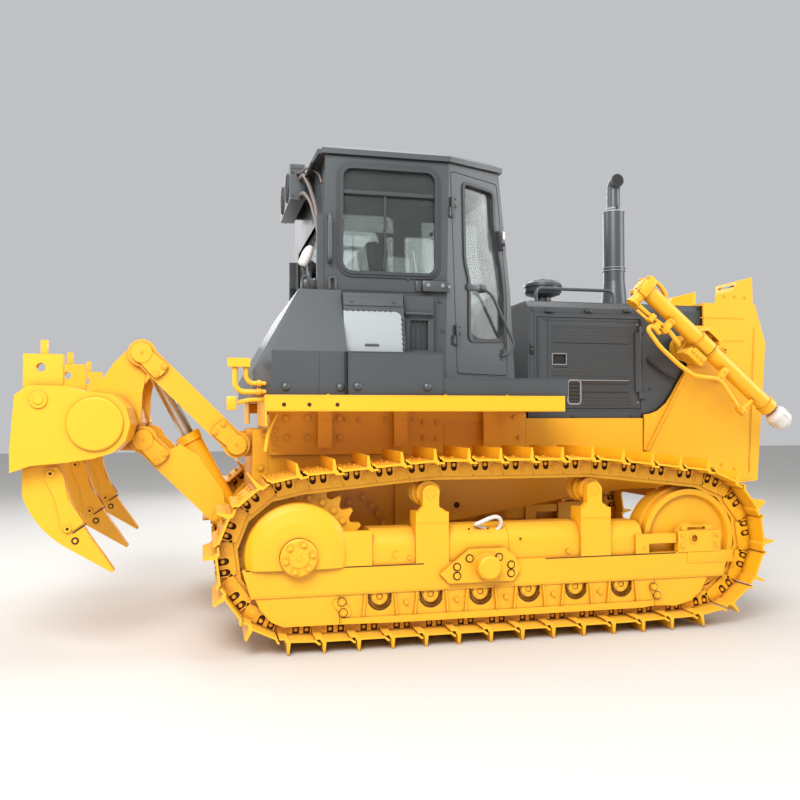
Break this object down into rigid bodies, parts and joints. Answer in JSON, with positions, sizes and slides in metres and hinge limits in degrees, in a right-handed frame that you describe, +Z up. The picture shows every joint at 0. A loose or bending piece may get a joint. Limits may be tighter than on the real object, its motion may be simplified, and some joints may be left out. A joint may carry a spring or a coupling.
{
  "type": "crawler bulldozer with a ripper and no blade",
  "caption": "Crawler bulldozer in yellow and grey, with a closed cab, two folded-in blade lift cylinders and a rear ripper with three shanks; the blade is off.",
  "frame": {"origin": "on the ground under the middle of the machine, at the grousers' tips", "axes": "+X forward, +Y to the machine's left, +Z up"},
  "size_m": [5.465, 2.6006, 3.481],
  "materials": {
    "yellow_paint": "satin",
    "grey_paint": "satin",
    "engine_iron": "matte",
    "black_trim": "matte",
    "rod_chrome": "polished",
    "white_wrap": "matte",
    "window_glass": "polished"
  },
  "bodies": {
    "root": {"track_right": "yellow_paint", "track_left": "yellow_paint", "track_frames": "yellow_paint", "roller_guards": "yellow_paint", "rollers": "yellow_paint", "sprockets": "yellow_paint", "final_drives": "yellow_paint", "idlers": "yellow_paint", "arm_trunnions": "yellow_paint", "main_frame": "yellow_paint", "suspension_bars": "yellow_paint", "engine_block": "engine_iron", "fenders": "yellow_paint", "fuel_tank": "grey_paint", "side_consoles": "grey_paint", "platform": "grey_paint", "cab_shell": "grey_paint", "cab_roof": "grey_paint", "cab_glass": "window_glass", "operator_seat": "black_trim", "cab_controls": "black_trim", "ac_unit": "grey_paint", "hood": "grey_paint", "chassis_panels": "yellow_paint", "radiator_guard": "yellow_paint", "radiator_grille": "yellow_paint", "radiator_core": "engine_iron", "lamp_guards": "yellow_paint", "exhaust_stack": "grey_paint", "air_precleaner": "grey_paint", "grab_rails": "grey_paint", "ripper_bracket": "yellow_paint", "rear_pipes": "yellow_paint"},
    "cab_door_right": {"cab_door_right": "grey_paint", "door_glass_right": "window_glass"},
    "cab_door_left": {"cab_door_left": "grey_paint", "door_glass_left": "window_glass"},
    "hood_door_right": {"hood_door_right": "grey_paint"},
    "hood_door_left": {"hood_door_left": "grey_paint"},
    "lift_barrel_right": {"lift_barrel_right": "yellow_paint"},
    "lift_barrel_left": {"lift_barrel_left": "yellow_paint"},
    "lift_rod_right": {"lift_rod_right": "rod_chrome", "rod_wrap_right": "white_wrap"},
    "lift_rod_left": {"lift_rod_left": "rod_chrome", "rod_wrap_left": "white_wrap"},
    "ripper_arm": {"ripper_arm": "yellow_paint"},
    "ripper_beam": {"ripper_beam": "yellow_paint", "ripper_shanks": "yellow_paint"},
    "ripper_links": {"ripper_links": "yellow_paint"},
    "ripper_barrels": {"ripper_barrels": "yellow_paint"},
    "ripper_rods": {"ripper_rods": "rod_chrome"}
  },
  "joints": [
    {"name": "cab_door_right_hinge", "type": "hinge", "parent": "root", "child": "cab_door_right", "pos_m": [0.07732, -0.89792, 1.75519], "axis": [0.0425, 0.0255, -0.9988], "range_deg": [0, 110]},
    {"name": "cab_door_left_hinge", "type": "hinge", "parent": "root", "child": "cab_door_left", "pos_m": [0.07732, 0.89792, 1.75519], "axis": [-0.0425, 0.0255, 0.9988], "range_deg": [0, 110]},
    {"name": "hood_door_right_hinge", "type": "hinge", "parent": "root", "child": "hood_door_right", "pos_m": [1.642, -0.5715, 1.88], "axis": [0, 0, 1], "range_deg": [0, 45]},
    {"name": "hood_door_left_hinge", "type": "hinge", "parent": "root", "child": "hood_door_left", "pos_m": [1.642, 0.5715, 1.88], "axis": [0, 0, -1], "range_deg": [0, 45]},
    {"name": "lift_swing_right", "type": "hinge", "parent": "root", "child": "lift_barrel_right", "pos_m": [1.974, -0.7, 1.983], "axis": [0, 1, 0], "range_deg": [-3, 25]},
    {"name": "lift_stroke_right", "type": "slide", "parent": "lift_barrel_right", "child": "lift_rod_right", "axis": [0.7649, 0, -0.6441], "range_m": [0, 1]},
    {"name": "lift_swing_left", "type": "hinge", "parent": "root", "child": "lift_barrel_left", "pos_m": [1.974, 0.7, 1.983], "axis": [0, 1, 0], "range_deg": [-3, 25]},
    {"name": "lift_stroke_left", "type": "slide", "parent": "lift_barrel_left", "child": "lift_rod_left", "axis": [0.7649, 0, -0.6441], "range_m": [0, 1]},
    {"name": "ripper_lift", "type": "hinge", "parent": "root", "child": "ripper_arm", "pos_m": [-1.402, 0, 0.675], "axis": [0, -1, 0], "range_deg": [0, 68]},
    {"name": "ripper_level", "type": "hinge", "parent": "ripper_arm", "child": "ripper_beam", "pos_m": [-2.029, 0, 1.299], "axis": [0, -1, 0], "range_deg": [-69, 1]},
    {"name": "ripper_link_swing", "type": "hinge", "parent": "root", "child": "ripper_links", "pos_m": [-1.411, 0, 1.261], "axis": [0, -1, 0], "range_deg": [-1, 69]},
    {"name": "ripper_barrel_swing", "type": "hinge", "parent": "root", "child": "ripper_barrels", "pos_m": [-1.402, 0, 0.675], "axis": [0, -1, 0], "range_deg": [-1, 47.5]},
    {"name": "ripper_stroke", "type": "slide", "parent": "ripper_barrels", "child": "ripper_rods", "axis": [-0.4653, 0, 0.8852], "range_m": [-0.52, 0.005]}
  ],
  "couplings": [
    {"joint": "ripper_level", "follows": "ripper_lift", "ratio": -1},
    {"joint": "ripper_link_swing", "follows": "ripper_lift", "ratio": 1},
    {"joint": "ripper_barrel_swing", "follows": "ripper_lift", "ratio": 0.67804},
    {"joint": "ripper_stroke", "follows": "ripper_lift", "m_per_rad": -0.43028}
  ]
}
